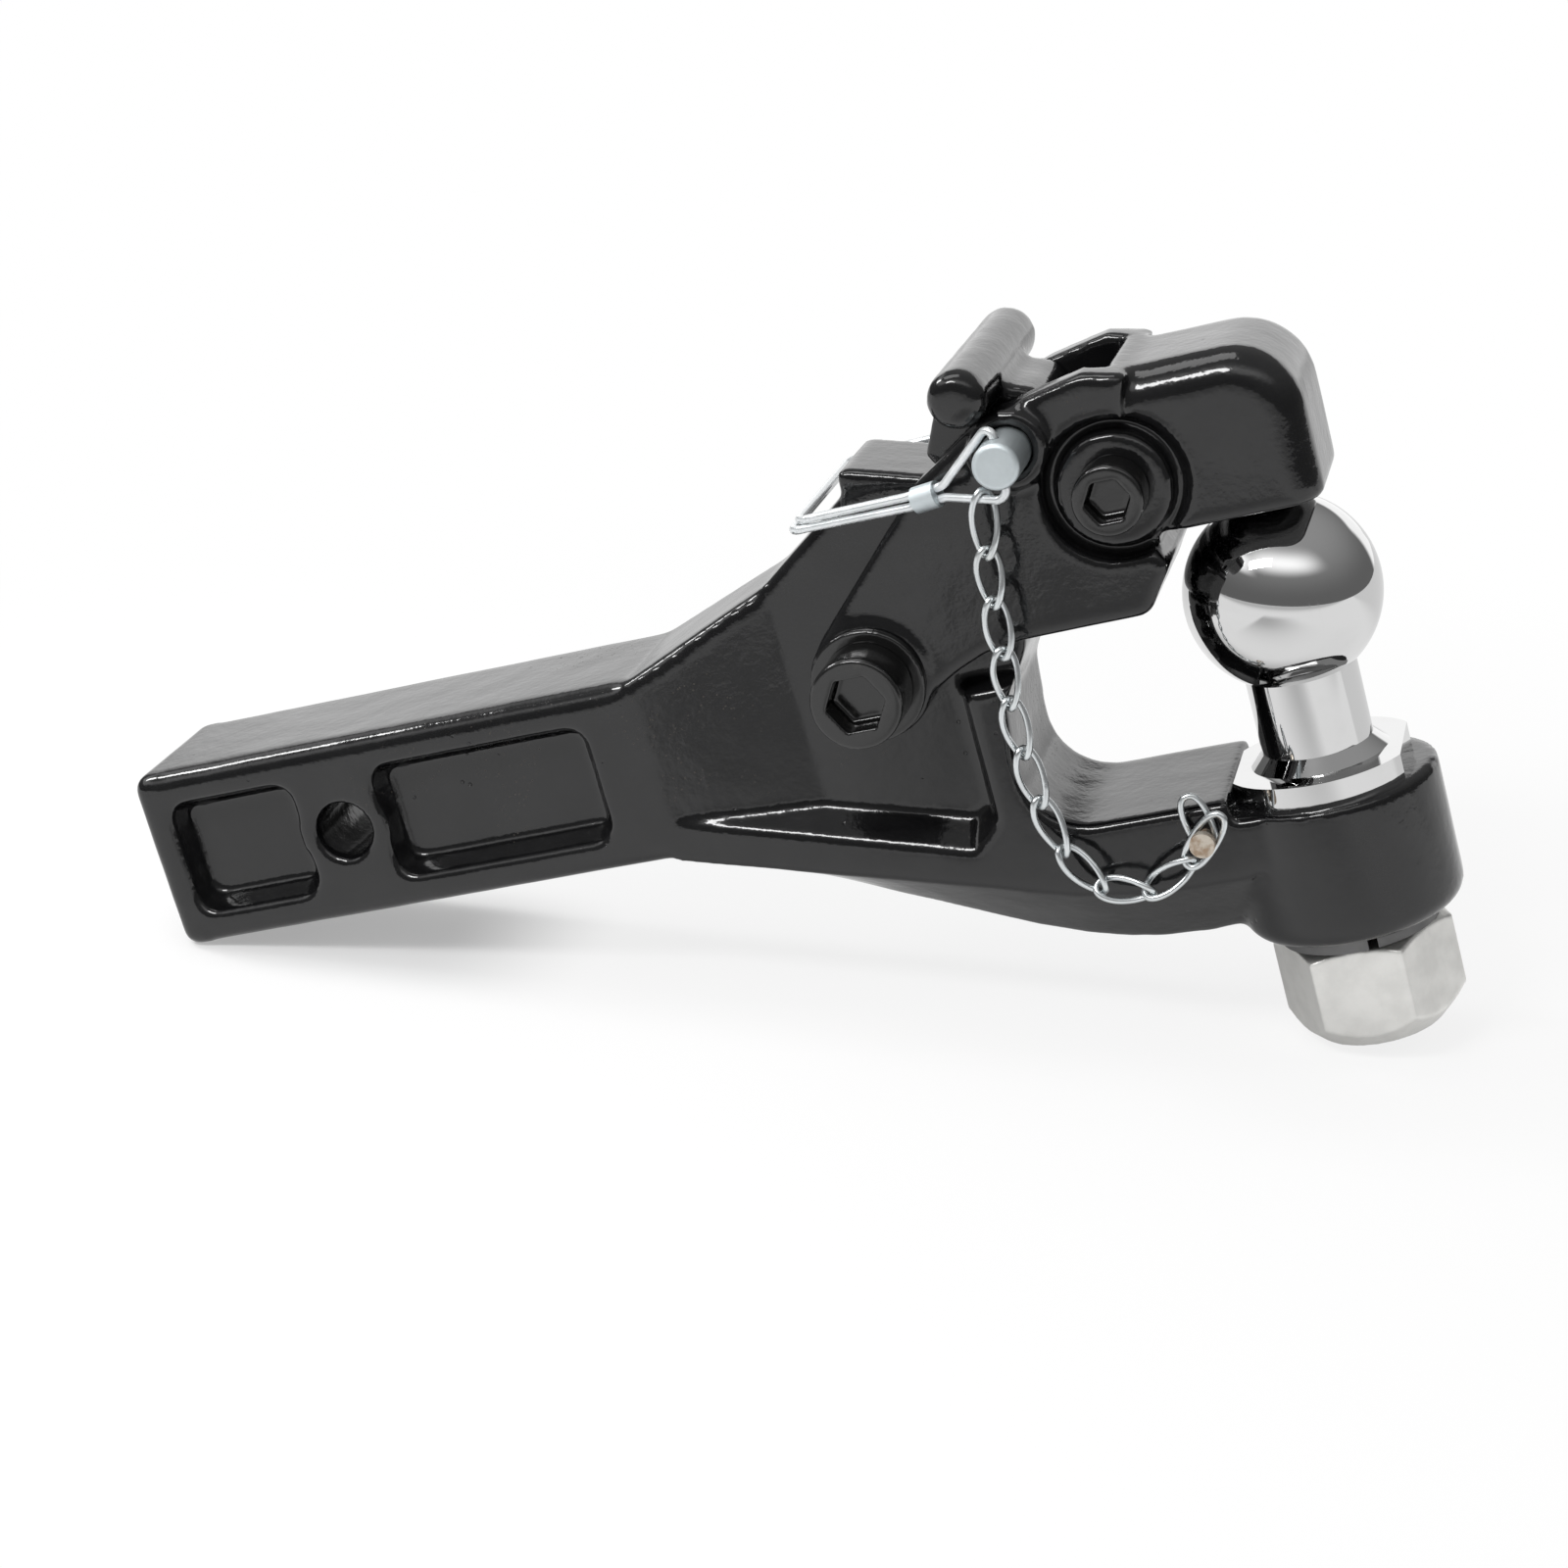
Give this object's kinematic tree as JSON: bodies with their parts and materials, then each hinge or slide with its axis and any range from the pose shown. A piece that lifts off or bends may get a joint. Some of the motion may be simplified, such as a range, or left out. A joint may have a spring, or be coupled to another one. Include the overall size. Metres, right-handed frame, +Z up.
{
  "type": "ball hitch",
  "caption": "Receiver-mount ball hitch with a square shank, a chrome tow ball and a hinged pintle jaw held shut by a lift-up lock lever and a chained safety pin",
  "frame": {"origin": "centre of the hitch-pin hole, on the shank's mid-plane", "axes": "+X along the shank towards the ball, +Y across it away from the bolt heads, +Z up the ball's axis"},
  "size_m": [0.347, 0.0936, 0.201],
  "materials": {
    "black_paint": "gloss",
    "ball_chrome": "polished",
    "nut_zinc": "satin zinc",
    "black_oxide": "satin",
    "pin_zinc": "satin zinc",
    "bail_wire": "bright zinc",
    "chain_zinc": "bright zinc",
    "rivet_brass": "cut end"
  },
  "bodies": {
    "hook_body": {"hook_body": "black_paint", "tow_ball": "ball_chrome", "ball_spring_washer": "nut_zinc", "ball_nut": "nut_zinc", "jaw_bolt": "black_oxide", "jaw_bolt_washer": "black_oxide", "jaw_nut_washer": "black_oxide", "jaw_bolt_nut": "black_oxide", "chain_rivet": "rivet_brass", "chain_link_01": "chain_zinc", "chain_link_02": "chain_zinc", "chain_link_03": "chain_zinc", "chain_link_04": "chain_zinc", "chain_link_05": "chain_zinc", "chain_link_06": "chain_zinc", "chain_link_07": "chain_zinc", "chain_link_08": "chain_zinc", "chain_link_09": "chain_zinc", "chain_link_10": "chain_zinc", "chain_link_11": "chain_zinc", "chain_link_12": "chain_zinc"},
    "upper_jaw": {"upper_jaw": "black_paint", "lock_bolt": "black_oxide", "lock_nut_washer": "black_oxide", "lock_bolt_nut": "black_oxide"},
    "lock_lever": {"lock_lever": "black_paint"},
    "safety_pin": {"safety_pin": "pin_zinc", "wire_bail": "bail_wire", "bail_ferrule": "pin_zinc"}
  },
  "joints": [
    {"name": "jaw_open", "type": "hinge", "parent": "hook_body", "child": "upper_jaw", "pos_m": [0.1565, 0, 0.014], "axis": [0, -1, 0], "range_deg": [0, 45], "deforming": ["wire_bail", "bail_ferrule", "chain_link_01", "chain_link_02", "chain_link_03", "chain_link_04", "chain_link_05", "chain_link_06", "chain_link_07", "chain_link_08", "chain_link_09", "chain_link_10", "chain_link_11", "chain_link_12"]},
    {"name": "lock_lift", "type": "hinge", "parent": "upper_jaw", "child": "lock_lever", "pos_m": [0.2295, 0, 0.0503], "axis": [0, 1, 0], "range_deg": [0, 33.75]},
    {"name": "safety_pin_pull", "type": "slide", "parent": "upper_jaw", "child": "safety_pin", "axis": [0, -1, 0], "range_m": [0, 0.072], "deforming": ["wire_bail", "bail_ferrule", "chain_link_01", "chain_link_02", "chain_link_03", "chain_link_04", "chain_link_05", "chain_link_06", "chain_link_07", "chain_link_08", "chain_link_09", "chain_link_10", "chain_link_11", "chain_link_12"]}
  ],
  "couplings": [
    {"joint": "lock_lift", "follows": "jaw_open", "ratio": 0.75}
  ]
}
